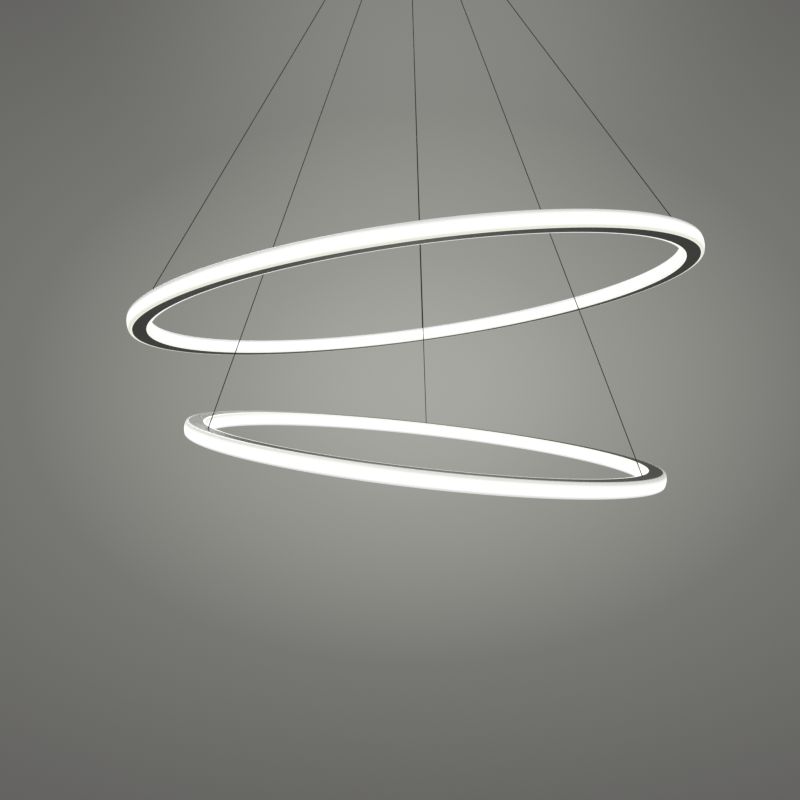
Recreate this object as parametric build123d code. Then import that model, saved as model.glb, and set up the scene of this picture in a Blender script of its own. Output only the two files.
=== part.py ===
from build123d import *
import os
from math import atan2, cos, degrees, pi, radians, sin, sqrt, tan

os.makedirs("parts", exist_ok=True)

# Two-ring pendant light. Millimetres, +Z up. The origin is on the ceiling, in the middle of the
# mounting plate's upper face, and everything hangs below it. +X is to the right of the person who
# looks along +Y. Each ring hangs on three wires, one at the back and two at the front.

# ---------------------------------------------------------------- driving dimensions

# rings
UPPER_RING_OD = 800.0        # over the outer diffuser
LOWER_RING_OD = 672.0
UPPER_RING_DROP = 557.3      # from the ceiling down to the ring's centre
LOWER_RING_DROP = 772.0
UPPER_RING_SIDE = -3.5       # how far the hanging ring's centre lies to the right
LOWER_RING_SIDE = 5.1
UPPER_RIGHT_RISE = 6.52      # degrees that the ring's right side stands high
LOWER_RIGHT_RISE = -7.45     # degrees
UPPER_FRONT_RISE = 4.09      # degrees that the ring's front stands high
LOWER_FRONT_RISE = -4.06     # degrees
ANCHOR_ANGLES = {"back": 90.0, "front_left": 210.0, "front_right": 330.0}     # degrees
UPPER_ANCHOR_TURN = -2.4     # degrees that a ring's anchors are turned from those angles
LOWER_ANCHOR_TURN = -1.25    # degrees
GRIPPER_TURN = -1.6          # degrees that the grippers are turned from those angles

# aluminium section of a ring: an I with a rail beside each flange
SECTION_HEIGHT = 20.4
SECTION_WIDTH = 18.5
FLANGE = 1.6
WEB = 2.0
RAIL = 1.0
RAIL_SETBACK = 1.0           # from the flange's edge to the rail's edge
SEAM_ANGLE = 150.0           # degrees, where the rolled pieces' ends meet
SEAM_GAP = 0.2

# opal diffusers, which bulge from both edges of the section
OUTER_BULGE = 6.0
OUTER_CORNER_R = 4.0
INNER_BULGE = 7.5
INNER_CORNER_R = 5.5
DIFFUSER_CROWN_R = 26.0
DIFFUSER_WALL = 1.6
FOOT = 1.2                   # thickness of the foot that slides in behind the flange
FOOT_REACH = 3.0
FOOT_PLAY = 0.15

# light strips on both sides of the web
STRIP_WIDTH = 10.0
STRIP_THICKNESS = 0.6
STRIP_GAP = 3.0              # between the strip's two ends
PHOSPHOR_WIDTH = 3.0
PHOSPHOR_HEIGHT = 0.9
GLUE_LINE = 0.1

# joining strips that close the rolled section
JOINER_LENGTH = 60.0
JOINER_PLAY = 0.15

# wire anchors in the ring's upper flange
WIRE_D = 1.2
BALL_D = 4.0
BALL_DEPTH = 0.8             # from the flange's face down to the ball's centre
BALL_PLAY = 0.1
BUSHING_D = 8.0
BUSHING_LENGTH = 4.4
BUSHING_MOUTH_D = 3.5
BUSHING_PLAY = 0.05
WIRE_PLAY = 0.05             # between the wire and the ball's bore
WIRE_STUB = 1.3              # how far the wire's end passes the ball's centre

# canopy and mounting plate
CANOPY_OD = 220.0
CANOPY_DEPTH = 45.0
CANOPY_WALL = 1.2
CANOPY_EDGE_R = 4.0
CEILING_GAP = 0.5            # between the cup's rim and the ceiling
PLATE = 2.0
TAB_ANGLES = (30.0, 150.0, 270.0)     # degrees
TAB_WIDTH = 16.0
TAB_HEIGHT = 18.0
TAB_PLAY = 0.3
SLOT_SPACING = 140.0
SLOT_LENGTH = 24.0
SLOT_WIDTH = 5.5
GROMMET_HOLE_D = 14.0
GROMMET_BORE_D = 9.0
GROMMET_LIP = 2.0
GROMMET_FLANGE = 1.5

# drivers and terminal block under the plate
DRIVER_LENGTH = 108.0
DRIVER_WIDTH = 40.0
DRIVER_HEIGHT = 22.0
DRIVER_CORNER_R = 4.0
DRIVER_EDGE_R = 1.5
DRIVER_OFFSET = 46.0         # from the plate's middle to the driver's middle
EAR_LENGTH = 10.0
EAR_WIDTH = 20.0
EAR_THICKNESS = 3.0
EAR_CORNER_R = 2.0
TERMINAL_X = -34.0
TERMINAL_LENGTH = 30.0
TERMINAL_WIDTH = 17.0
TERMINAL_HEIGHT = 14.0
TERMINAL_POLES = 3
TERMINAL_WIRE_D = 4.0

# screws
SCREW_PLAY = 0.05            # between a screw and its hole
SLOT_SINK = 0.5              # depth of the driver slot in a screw's head
FINE_EDGE = 0.4              # small broken edge on turned pieces
SMALL_SCREW_D = 3.0
SMALL_HEAD_D = 6.0
SMALL_HEAD = 1.5
SMALL_SLOT = 0.6
EARTH_X = 34.0
EARTH_SCREW_D = 4.0
EARTH_FLANGE_D = 8.0
EARTH_FLANGE = 1.0
EARTH_HEAD_D = 7.2
EARTH_HEAD = 2.0
EARTH_SLOT = 0.8
SIDE_SCREW_D = 4.0
SIDE_SCREW_LENGTH = 9.0
SIDE_HEAD_D = 8.0
SIDE_HEAD = 3.0
SIDE_SLOT = 0.8
SIDE_SCREW_DEPTH = 11.0      # below the ceiling

# cable grippers, three for each ring
UPPER_GRIP_RADIUS = 80.0
LOWER_GRIP_RADIUS = 47.0
GRIP_BARREL_D = 10.0
GRIP_BARREL = 14.0           # from the canopy's face to the barrel's lower end
GRIP_BARREL_EDGE = 0.8
GRIP_FLANGE_D = 14.0
GRIP_FLANGE = 1.5
GRIP_STEM_D = 8.0
GRIP_STEM = 10.0
GRIP_NUT_AF = 13.0
GRIP_NUT = 4.0
GRIP_BORE_D = 1.6
CHAMBER_D = 6.6
CHAMBER_TOP = 3.0            # from the canopy's face
CONE_TOP = 8.0
CONE_BOTTOM = 12.0
CONE_BOTTOM_D = 5.3
NOSE_D = 5.0
NOSE_PLAY = 0.1
NOSE_BORE_D = 1.5
NOSE_OUT = 5.0               # how far the nose stands out of the barrel
NOSE_EDGE = 0.2
NOSE_RIM_D = 5.9
NOSE_RIM = 0.8
NOSE_CAGE = 3.4              # from the lip up to the rim
NOSE_MOUTH_D = 4.2
NOSE_MOUTH_DEPTH = 1.4
WEDGE_BALLS = 3
WEDGE_BALL_D = 2.24
WEDGE_BALL_UP = 1.7          # from the lip up to the balls' centres
WEDGE_BALL_PLAY = 0.05
SPRING_WIRE_D = 0.5
SPRING_MEAN_D = 4.4
SPRING_TURNS = 5
SPRING_END_PLAY = 0.05
WIRE_TAIL = 5.0              # spare wire above the stem
WIRE_BEND_R = 3.0            # where the wire turns out of the nose

# ---------------------------------------------------------------- worked-out sizes

H = SECTION_HEIGHT / 2
CANOPY_FACE = -CANOPY_DEPTH
CUP_INNER_R = CANOPY_OD / 2 - CANOPY_WALL
TAB_FACE_R = sqrt((CUP_INNER_R - TAB_PLAY) ** 2 - (TAB_WIDTH / 2) ** 2)
PLATE_R = CUP_INNER_R - 2 * TAB_PLAY
SMALL_HOLE_R = SMALL_SCREW_D / 2 + SCREW_PLAY
LIP_Z = CANOPY_FACE - CONE_BOTTOM
BARREL_END = CANOPY_FACE - GRIP_BARREL
NOSE_END = BARREL_END - NOSE_OUT
RIM_Z = LIP_Z + NOSE_CAGE
RAIL_FACE = H - FLANGE - FOOT - 2 * FOOT_PLAY


def save(shape, name):
    """Write one node: a solid, or a group of separate solids."""
    solids = shape.solids()
    body = solids[0] if len(solids) == 1 else Compound(children=list(solids))
    body.label = name
    export_step(body, f"parts/{name}.step")


def save_group(shapes, name):
    """Write identical or paired pieces as one node of separate solids."""
    save(Compound(children=[solid for shape in shapes for solid in shape.solids()]), name)


def rod(r, z_low, z_high):
    """An upright cylinder about Z between two heights."""
    return Pos(0, 0, z_low) * Cylinder(r, z_high - z_low, align=(Align.CENTER, Align.CENTER, Align.MIN))


def turned(points):
    """A turned piece from its half outline of (radius, height) points."""
    return revolve(Plane.XZ * make_face(Polyline(*points, close=True)), Axis.Z)


def polar(radius, angle, z=0.0):
    """A point at a radius and an angle in degrees about Z."""
    return Vector(radius * cos(radians(angle)), radius * sin(radians(angle)), z)


def slotted_head(head_d, head, seat, slot_width):
    """A screw's cheese head that stands on the height seat, with a straight driver slot on top."""
    body = rod(head_d / 2, seat, seat + head)
    body = fillet(body.edges().group_by(Axis.Z)[-1], FINE_EDGE)
    return body - Pos(0, 0, seat + head) * Box(2 * head_d, slot_width, 2 * SLOT_SINK)


# ---------------------------------------------------------------- rings

class Ring:
    """One ring: its radii, and the place where it hangs."""

    def __init__(self, name, outer_d, anchor_turn, place):
        self.name = name
        self.r_edge_out = outer_d / 2 - OUTER_BULGE
        self.r_edge_in = self.r_edge_out - SECTION_WIDTH
        self.r_web = (self.r_edge_out + self.r_edge_in) / 2
        self.anchor_turn = anchor_turn
        self.place = place

    def anchor(self, angle):
        """The ball's centre of the anchor at an angle, in the ring's own frame."""
        return polar(self.r_web, angle + self.anchor_turn, H - BALL_DEPTH)

    def hung(self, shape):
        """A piece made in the ring's own frame, put where the ring hangs."""
        return self.place * shape

    def hung_point(self, point):
        """A point of the ring's own frame, put where the ring hangs."""
        return (self.place * Pos(point)).position


def mirrored_rect(r_low, r_high, z_low, z_high):
    """Two rectangles of the section, one above and one below the ring's middle plane."""
    width, height = r_high - r_low, z_high - z_low
    middle_r, middle_z = (r_low + r_high) / 2, (z_low + z_high) / 2
    return [Pos(middle_r, z) * Rectangle(width, height) for z in (middle_z, -middle_z)]


def profile_section(ring):
    """The aluminium I section with its four rails."""
    pieces = mirrored_rect(ring.r_edge_in, ring.r_edge_out, H - FLANGE, H)
    pieces += mirrored_rect(ring.r_edge_in + RAIL_SETBACK, ring.r_edge_out - RAIL_SETBACK,
                            RAIL_FACE - RAIL, RAIL_FACE)
    pieces.append(Pos(ring.r_web, 0) * Rectangle(WEB, SECTION_HEIGHT))
    return Sketch() + pieces


def diffuser_section(r_edge, bulge, corner_r, side):
    """A diffuser's section: a crowned shell with a foot above and below, on one side of the ring.

    The corner arcs lie inside the crown's circle and touch it, so that the outline runs smoothly.
    """
    rise = H - corner_r
    crown_x = bulge - DIFFUSER_CROWN_R
    corner_x = crown_x + sqrt((DIFFUSER_CROWN_R - corner_r) ** 2 - rise ** 2)
    lean = atan2(rise, corner_x - crown_x)
    half_lean = (lean + pi / 2) / 2
    meet = (crown_x + DIFFUSER_CROWN_R * cos(lean), DIFFUSER_CROWN_R * sin(lean))
    corner_mid = (corner_x + corner_r * cos(half_lean), rise + corner_r * sin(half_lean))
    foot_high = RAIL_FACE + FOOT_PLAY + FOOT
    foot_low = RAIL_FACE + FOOT_PLAY
    cavity_x = meet[0] - DIFFUSER_WALL

    def at(x, z):
        return (r_edge + side * x, z)

    def arc(a, b, c):
        return ThreePointArc(at(*a), at(*b), at(*c))

    shell = [
        Line(at(FOOT_PLAY, H), at(corner_x, H)),
        arc((corner_x, H), corner_mid, meet),
        arc(meet, (bulge, 0), (meet[0], -meet[1])),
        arc((meet[0], -meet[1]), (corner_mid[0], -corner_mid[1]), (corner_x, -H)),
        Polyline(at(corner_x, -H), at(FOOT_PLAY, -H), at(FOOT_PLAY, -foot_high), at(-FOOT_REACH, -foot_high),
                 at(-FOOT_REACH, -foot_low), at(cavity_x, -foot_low), at(cavity_x, foot_low),
                 at(-FOOT_REACH, foot_low), at(-FOOT_REACH, foot_high), at(FOOT_PLAY, foot_high),
                 at(FOOT_PLAY, H)),
    ]
    return make_face(shell)


def light_strip_section(ring, side):
    """A flat circuit strip on one side of the web, with the raised phosphor line along it."""
    base = WEB / 2 + GLUE_LINE
    top = base + STRIP_THICKNESS
    strip = Pos(ring.r_web + side * (base + top) / 2, 0) * Rectangle(STRIP_THICKNESS, STRIP_WIDTH)
    line = Pos(ring.r_web + side * (top + PHOSPHOR_HEIGHT / 2), 0) * Rectangle(PHOSPHOR_HEIGHT, PHOSPHOR_WIDTH)
    return strip + line


def rolled(ring, section, gap):
    """A section turned once round the ring's axis, open by a gap at the seam."""
    seam = Rot(Z=SEAM_ANGLE) * Pos(ring.r_web, 0, 0) * Box(3 * SECTION_WIDTH, gap, 2 * SECTION_HEIGHT)
    return revolve(Plane.XZ * section, Axis.Z) - seam


def make_ring(ring):
    """All pieces of one ring except what hangs on its wires."""
    profile = rolled(ring, profile_section(ring), SEAM_GAP)
    bushings = []
    for angle in ANCHOR_ANGLES.values():
        centre = ring.anchor(angle)
        top = Pos(centre.X, centre.Y, H)
        profile -= top * rod(BUSHING_D / 2 + BUSHING_PLAY, -BUSHING_LENGTH - BUSHING_PLAY, BUSHING_LENGTH)
        bushings.append(ring.hung(top * anchor_bushing()))
    save(ring.hung(profile), f"{ring.name}_ring_profile")
    save_group(bushings, f"{ring.name}_ring_anchor_bushings")

    outer = diffuser_section(ring.r_edge_out, OUTER_BULGE, OUTER_CORNER_R, 1)
    inner = diffuser_section(ring.r_edge_in, INNER_BULGE, INNER_CORNER_R, -1)
    save(ring.hung(rolled(ring, outer, SEAM_GAP)), f"{ring.name}_ring_outer_diffuser")
    save(ring.hung(rolled(ring, inner, SEAM_GAP)), f"{ring.name}_ring_inner_diffuser")
    for side, where in ((1, "outer"), (-1, "inner")):
        strip = rolled(ring, light_strip_section(ring, side), STRIP_GAP)
        save(ring.hung(strip), f"{ring.name}_ring_{where}_light_strip")
    save_group([ring.hung(piece) for piece in make_joiners(ring)], f"{ring.name}_ring_joiners")


def anchor_bushing():
    """A flush bushing, its upper face at z = 0, with a ball seat that is open below."""
    seat_r = BALL_D / 2 + BALL_PLAY
    body = rod(BUSHING_D / 2, -BUSHING_LENGTH, 0)
    body -= Pos(0, 0, -BALL_DEPTH) * Sphere(seat_r)
    body -= rod(seat_r, -2 * BUSHING_LENGTH, -BALL_DEPTH)
    return body - rod(BUSHING_MOUTH_D / 2, -BALL_DEPTH, BUSHING_LENGTH)


def make_joiners(ring):
    """Four curved strips in the grooves beside the web, across the seam."""
    near = WEB / 2 + JOINER_PLAY
    far = SECTION_WIDTH / 2 - FOOT_REACH - 2 * JOINER_PLAY
    half_turn = degrees(JOINER_LENGTH / 2 / ring.r_web)
    pieces = []
    for side in (1, -1):
        r_low, r_high = sorted((ring.r_web + side * near, ring.r_web + side * far))
        for rect in mirrored_rect(r_low, r_high, RAIL_FACE + JOINER_PLAY, H - FLANGE - JOINER_PLAY):
            bar = revolve(Plane.XZ * rect, Axis.Z, revolution_arc=2 * half_turn)
            pieces.append(Rot(Z=SEAM_ANGLE - half_turn) * bar)
    return pieces


# ---------------------------------------------------------------- cable grippers and wires

def grip_barrel():
    """The gripper's body, on the gripper's own axis: flange, barrel, threaded stem, stepped bore."""
    stem_end = CANOPY_FACE + GRIP_STEM
    flange_end = CANOPY_FACE - GRIP_FLANGE
    return turned([
        (GRIP_BORE_D / 2, stem_end),
        (GRIP_STEM_D / 2 - FINE_EDGE, stem_end),
        (GRIP_STEM_D / 2, stem_end - FINE_EDGE),
        (GRIP_STEM_D / 2, CANOPY_FACE),
        (GRIP_FLANGE_D / 2, CANOPY_FACE),
        (GRIP_FLANGE_D / 2, flange_end + FINE_EDGE),
        (GRIP_FLANGE_D / 2 - FINE_EDGE, flange_end),
        (GRIP_BARREL_D / 2, flange_end),
        (GRIP_BARREL_D / 2, BARREL_END + GRIP_BARREL_EDGE),
        (GRIP_BARREL_D / 2 - GRIP_BARREL_EDGE, BARREL_END),
        (NOSE_D / 2 + NOSE_PLAY, BARREL_END),
        (NOSE_D / 2 + NOSE_PLAY, LIP_Z),
        (CONE_BOTTOM_D / 2, LIP_Z),
        (CHAMBER_D / 2, CANOPY_FACE - CONE_TOP),
        (CHAMBER_D / 2, CANOPY_FACE - CHAMBER_TOP),
        (GRIP_BORE_D / 2, CANOPY_FACE - CHAMBER_TOP),
    ])


def grip_nut():
    """The hexagon lock nut inside the canopy."""
    seat = CANOPY_FACE + CANOPY_WALL
    nut = extrude(Pos(0, 0, seat) * RegularPolygon(GRIP_NUT_AF / 2, 6, major_radius=False), GRIP_NUT)
    return nut - rod(GRIP_STEM_D / 2 + SCREW_PLAY, seat - GRIP_NUT, seat + 2 * GRIP_NUT)


def grip_nose():
    """The release nose: shank with a flared mouth, ball cage and retaining rim."""
    nose = turned([
        (NOSE_BORE_D / 2, RIM_Z + NOSE_RIM),
        (NOSE_RIM_D / 2, RIM_Z + NOSE_RIM),
        (NOSE_RIM_D / 2, RIM_Z),
        (NOSE_D / 2, RIM_Z),
        (NOSE_D / 2, NOSE_END + 2 * NOSE_EDGE),
        (NOSE_D / 2 - NOSE_EDGE, NOSE_END),
        (NOSE_MOUTH_D / 2, NOSE_END),
        (NOSE_BORE_D / 2, NOSE_END + NOSE_MOUTH_DEPTH),
    ])
    hole = Rot(Y=90) * rod(WEDGE_BALL_D / 2 + WEDGE_BALL_PLAY, 0, NOSE_RIM_D)
    for ball in range(WEDGE_BALLS):
        nose -= Rot(Z=ball * 360 / WEDGE_BALLS) * Pos(0, 0, LIP_Z + WEDGE_BALL_UP) * hole
    return nose


def wedge_balls():
    """The balls that the nose carries between the wire and the barrel's cone."""
    reach = WIRE_D / 2 + WEDGE_BALL_D / 2 + WEDGE_BALL_PLAY / 2
    return [Pos(polar(reach, ball * 360 / WEDGE_BALLS, LIP_Z + WEDGE_BALL_UP)) * Sphere(WEDGE_BALL_D / 2)
            for ball in range(WEDGE_BALLS)]


def grip_spring():
    """The spring that pushes the nose down: one helix from the rim to the chamber's top."""
    low = RIM_Z + NOSE_RIM + SPRING_WIRE_D / 2 + SPRING_END_PLAY
    high = CANOPY_FACE - CHAMBER_TOP - SPRING_WIRE_D / 2 - SPRING_END_PLAY
    coil = Helix((high - low) / SPRING_TURNS, high - low, SPRING_MEAN_D / 2, center=(0, 0, low))
    start = Plane(origin=coil @ 0, z_dir=coil % 0)
    return sweep(start * Circle(SPRING_WIRE_D / 2), path=coil)


def wire(grip, ball):
    """One wire: down through its gripper, round the nose's mouth, straight to its ball."""
    top = Vector(grip.X, grip.Y, CANOPY_FACE + GRIP_STEM + WIRE_TAIL)
    bend_start = NOSE_END + NOSE_MOUTH_DEPTH
    slant = atan2((ball - grip - Vector(0, 0, ball.Z)).length, bend_start - ball.Z)
    # the slanted run, drawn on, meets the gripper's axis in this corner
    corner = Vector(grip.X, grip.Y, bend_start - WIRE_BEND_R * tan(slant / 2))
    end = ball + (ball - corner).normalized() * WIRE_STUB
    path = FilletPolyline(top, corner, end, radius=WIRE_BEND_R)
    return sweep(Plane(origin=top, z_dir=(0, 0, -1)) * Circle(WIRE_D / 2), path=path), path.length


def ball_end(grip, ball):
    """The ball crimped on a wire's end, bored along the wire."""
    aim = Plane(origin=ball, z_dir=Vector(grip.X, grip.Y, NOSE_END) - ball)
    bore, ball_r = WIRE_D / 2 + WIRE_PLAY, BALL_D / 2
    edge_z = sqrt(ball_r ** 2 - bore ** 2)
    outline = [Line((bore, -edge_z), (bore, edge_z)), ThreePointArc((bore, edge_z), (ball_r, 0), (bore, -edge_z))]
    return aim * revolve(Plane.XZ * make_face(outline), Axis.Z)


# ---------------------------------------------------------------- canopy

def canopy_cup(grips):
    """The drawn steel cup, open above, with gripper holes in its floor and screw holes in its side."""
    cup = rod(CANOPY_OD / 2, CANOPY_FACE, -CEILING_GAP)
    cup = fillet(cup.edges().group_by(Axis.Z)[0], CANOPY_EDGE_R)
    hollow = rod(CUP_INNER_R, CANOPY_FACE + CANOPY_WALL, CANOPY_DEPTH)
    cup -= fillet(hollow.edges().group_by(Axis.Z)[0], CANOPY_EDGE_R - CANOPY_WALL)
    stem_hole = rod(GRIP_STEM_D / 2 + SCREW_PLAY, CANOPY_FACE - CANOPY_WALL, CANOPY_FACE + 2 * CANOPY_WALL)
    for grip in grips:
        cup -= Pos(grip) * stem_hole
    for angle in TAB_ANGLES:
        cup -= side_axis(angle) * rod(SIDE_SCREW_D / 2 + SCREW_PLAY, CUP_INNER_R - TAB_WIDTH, CANOPY_OD)
    return cup


def side_axis(angle):
    """The frame of a side screw: Z points outwards through the canopy's wall."""
    return Pos(0, 0, -SIDE_SCREW_DEPTH) * Rot(Z=angle) * Rot(Y=90)


def ceiling_plate():
    """The steel disc on the ceiling, with three tabs turned down at its edge."""
    plate = rod(PLATE_R, -PLATE, 0)
    edge_on = (Align.MIN, Align.CENTER, Align.CENTER)
    hanging = (Align.MAX, Align.CENTER, Align.MAX)
    for angle in TAB_ANGLES:
        edge = Rot(Z=angle) * Pos(TAB_FACE_R, 0, 0)
        plate -= edge * Box(CANOPY_OD, TAB_WIDTH, 4 * PLATE, align=edge_on)
        plate += edge * Box(PLATE, TAB_WIDTH, TAB_HEIGHT, align=hanging)
        plate -= side_axis(angle) * rod(SIDE_SCREW_D / 2 + SCREW_PLAY, TAB_FACE_R - TAB_WIDTH, CANOPY_OD)
    for side in (1, -1):
        slot = Pos(side * SLOT_SPACING / 2, 0, -2 * PLATE) * SlotOverall(SLOT_LENGTH, SLOT_WIDTH)
        plate -= extrude(slot, 4 * PLATE)
    plate -= rod(GROMMET_HOLE_D / 2, -2 * PLATE, PLATE)
    for x, y in driver_screw_places() + [(TERMINAL_X, 0)]:
        plate -= Pos(x, y, 0) * rod(SMALL_HOLE_R, -2 * PLATE, PLATE)
    return plate - Pos(EARTH_X, 0, 0) * rod(EARTH_SCREW_D / 2 + SCREW_PLAY, -2 * PLATE, PLATE)


def driver_screw_places():
    """Centres of the four screws through the drivers' ears."""
    reach = (DRIVER_LENGTH + EAR_LENGTH) / 2
    return [(x * reach, y * DRIVER_OFFSET) for x in (1, -1) for y in (1, -1)]


def grommet():
    """The rubber grommet in the plate's middle hole, where the mains cable comes in."""
    bore, groove = GROMMET_BORE_D / 2, GROMMET_HOLE_D / 2 - SCREW_PLAY
    lip = GROMMET_HOLE_D / 2 + GROMMET_LIP
    top, face = -SCREW_PLAY, -PLATE - SCREW_PLAY
    return turned([
        (bore, top),
        (groove, top),
        (groove, face),
        (lip, face),
        (lip - FINE_EDGE, face - GROMMET_FLANGE),
        (bore, face - GROMMET_FLANGE),
    ])


def driver(side):
    """One LED driver: a moulded case with a screw ear at each end, under the plate."""
    hanging = (Align.CENTER, Align.CENTER, Align.MAX)
    case = Box(DRIVER_LENGTH, DRIVER_WIDTH, DRIVER_HEIGHT, align=hanging)
    case = fillet(case.edges().filter_by(Axis.Z), DRIVER_CORNER_R)
    case = fillet(case.edges().group_by(Axis.Z)[0], DRIVER_EDGE_R)
    ears = Box(DRIVER_LENGTH + 2 * EAR_LENGTH, EAR_WIDTH, EAR_THICKNESS, align=hanging)
    case += fillet(ears.edges().filter_by(Axis.Z), EAR_CORNER_R)
    for end in (1, -1):
        case -= Pos(end * (DRIVER_LENGTH + EAR_LENGTH) / 2, 0, 0) * rod(SMALL_HOLE_R, -DRIVER_HEIGHT, DRIVER_HEIGHT)
    return Pos(0, side * DRIVER_OFFSET, -PLATE) * case


def small_screw(x, y, depth):
    """A small screw from below, its head seated at a depth under the ceiling, its end flush above."""
    screw = slotted_head(SMALL_HEAD_D, SMALL_HEAD, 0, SMALL_SLOT) + rod(SMALL_SCREW_D / 2, -depth, 0)
    return Pos(x, y, -depth) * Rot(X=180) * screw


def terminal_block():
    """Three-pole screw terminal, with wire holes through it and screw wells from below."""
    block = Box(TERMINAL_LENGTH, TERMINAL_WIDTH, TERMINAL_HEIGHT, align=(Align.CENTER, Align.CENTER, Align.MAX))
    block = fillet(block.edges().group_by(Axis.Z)[0], FINE_EDGE)
    pitch = TERMINAL_LENGTH / TERMINAL_POLES
    well = rod(TERMINAL_WIRE_D / 2, -2 * TERMINAL_HEIGHT, -TERMINAL_HEIGHT / 2)
    for pole in range(TERMINAL_POLES):
        x = (pole - (TERMINAL_POLES - 1) / 2) * pitch
        block -= Pos(x, 0, -TERMINAL_HEIGHT / 2) * Rot(X=90) * Cylinder(TERMINAL_WIRE_D / 2, 2 * TERMINAL_WIDTH)
        for row in (1, -1):
            block -= Pos(x, row * TERMINAL_WIDTH / 4, 0) * well
    block -= rod(SMALL_HOLE_R, -2 * TERMINAL_HEIGHT, TERMINAL_HEIGHT)
    block -= rod(SMALL_HEAD_D / 2 + SCREW_PLAY, -2 * TERMINAL_HEIGHT, -TERMINAL_HEIGHT / 2)
    return Pos(TERMINAL_X, 0, -PLATE) * block


def earth_screw():
    """The brass earth screw with its flanged head, under the plate."""
    screw = rod(EARTH_FLANGE_D / 2, 0, EARTH_FLANGE) + rod(EARTH_SCREW_D / 2, -PLATE, EARTH_FLANGE)
    screw += slotted_head(EARTH_HEAD_D, EARTH_HEAD, EARTH_FLANGE, EARTH_SLOT)
    return Pos(EARTH_X, 0, -PLATE) * Rot(X=180) * screw


def side_screw(angle):
    """A screw that holds the cup to a tab, with its head outside the cup."""
    head = slotted_head(SIDE_HEAD_D, SIDE_HEAD, CANOPY_OD / 2, SIDE_SLOT)
    shank = rod(SIDE_SCREW_D / 2, CANOPY_OD / 2 - SIDE_SCREW_LENGTH, CANOPY_OD / 2)
    return side_axis(angle) * (head + shank)


# ---------------------------------------------------------------- build

upper_place = Pos(UPPER_RING_SIDE, 0, -UPPER_RING_DROP) * Rot(Y=-UPPER_RIGHT_RISE) * Rot(X=-UPPER_FRONT_RISE)
lower_place = Pos(LOWER_RING_SIDE, 0, -LOWER_RING_DROP) * Rot(Y=-LOWER_RIGHT_RISE) * Rot(X=-LOWER_FRONT_RISE)
RINGS = [Ring("upper", UPPER_RING_OD, UPPER_ANCHOR_TURN, upper_place),
         Ring("lower", LOWER_RING_OD, LOWER_ANCHOR_TURN, lower_place)]
GRIP_RADII = {"upper": UPPER_GRIP_RADIUS, "lower": LOWER_GRIP_RADIUS}
GRIPS = {(ring.name, where): polar(GRIP_RADII[ring.name], angle + GRIPPER_TURN)
         for ring in RINGS for where, angle in ANCHOR_ANGLES.items()}

save(ceiling_plate(), "ceiling_plate")
save(grommet(), "cable_grommet")
save(terminal_block(), "terminal_block")
save(earth_screw(), "earth_screw")
save(driver(1), "upper_ring_driver")
save(driver(-1), "lower_ring_driver")
inner_screws = [small_screw(x, y, PLATE + EAR_THICKNESS) for x, y in driver_screw_places()]
inner_screws.append(small_screw(TERMINAL_X, 0, PLATE + TERMINAL_HEIGHT / 2))
save_group(inner_screws, "driver_and_terminal_screws")
save(canopy_cup(GRIPS.values()), "canopy_cup")
save_group([side_screw(angle) for angle in TAB_ANGLES], "canopy_side_screws")

save_group([Pos(grip) * grip_nut() for grip in GRIPS.values()], "gripper_nuts")
for ring in RINGS:
    which = ring.name
    save_group([Pos(GRIPS[which, where]) * grip_barrel() for where in ANCHOR_ANGLES], f"{which}_gripper_barrels")
    make_ring(ring)
    fixed_balls = []
    for where, angle in ANCHOR_ANGLES.items():
        grip = GRIPS[which, where]
        ball = ring.hung_point(ring.anchor(angle))
        save(Pos(grip) * grip_nose(), f"{which}_gripper_nose_{where}")
        save_group([Pos(grip) * piece for piece in wedge_balls()], f"{which}_gripper_balls_{where}")
        save(Pos(grip) * grip_spring(), f"{which}_gripper_spring_{where}")
        tube, length = wire(grip, ball)
        save(tube, f"{which}_wire_{where}")
        if where == "front_right":
            save(ball_end(grip, ball), f"{which}_ball_end_front_right")
        else:
            fixed_balls.append(ball_end(grip, ball))
        print(f"{which} {where}: ball {ball.X:.3f} {ball.Y:.3f} {ball.Z:.3f}, "
              f"grip {grip.X:.3f} {grip.Y:.3f}, wire {length:.1f} long")
    save_group(fixed_balls, f"{which}_ball_ends_fixed")
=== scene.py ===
from math import atan2, cos, hypot, pi, radians, sin, sqrt, tan

import bpy
import numpy as np
from mathutils import Euler, Matrix, Vector


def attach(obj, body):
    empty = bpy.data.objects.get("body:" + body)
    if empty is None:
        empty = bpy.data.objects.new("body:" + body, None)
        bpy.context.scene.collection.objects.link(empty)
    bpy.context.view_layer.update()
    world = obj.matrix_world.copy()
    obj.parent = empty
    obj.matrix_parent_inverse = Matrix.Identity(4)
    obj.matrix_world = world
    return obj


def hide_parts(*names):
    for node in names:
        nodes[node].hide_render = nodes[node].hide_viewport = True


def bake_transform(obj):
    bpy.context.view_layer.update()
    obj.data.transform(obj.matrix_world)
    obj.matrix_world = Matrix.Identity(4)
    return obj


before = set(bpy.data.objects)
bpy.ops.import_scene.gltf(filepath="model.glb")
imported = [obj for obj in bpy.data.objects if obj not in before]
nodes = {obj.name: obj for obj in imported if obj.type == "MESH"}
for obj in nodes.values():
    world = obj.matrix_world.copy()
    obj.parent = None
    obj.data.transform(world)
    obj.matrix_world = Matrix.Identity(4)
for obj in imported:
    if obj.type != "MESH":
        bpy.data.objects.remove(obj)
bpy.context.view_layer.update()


# ---------------------------------------------------------------- camera
# It stands level with the space between the rings, a metre and a half in front of them, and is
# rolled a little to the right, as a hand-held camera is.

CAMERA_PLACE = Vector((-0.0282, -1.4928, -0.7170))
CAMERA_PITCH = 0.544         # degrees
CAMERA_ROLL = -1.17          # degrees
FOCAL_LENGTH = 47.25         # mm
NEAR_CLIP = 0.01

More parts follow.
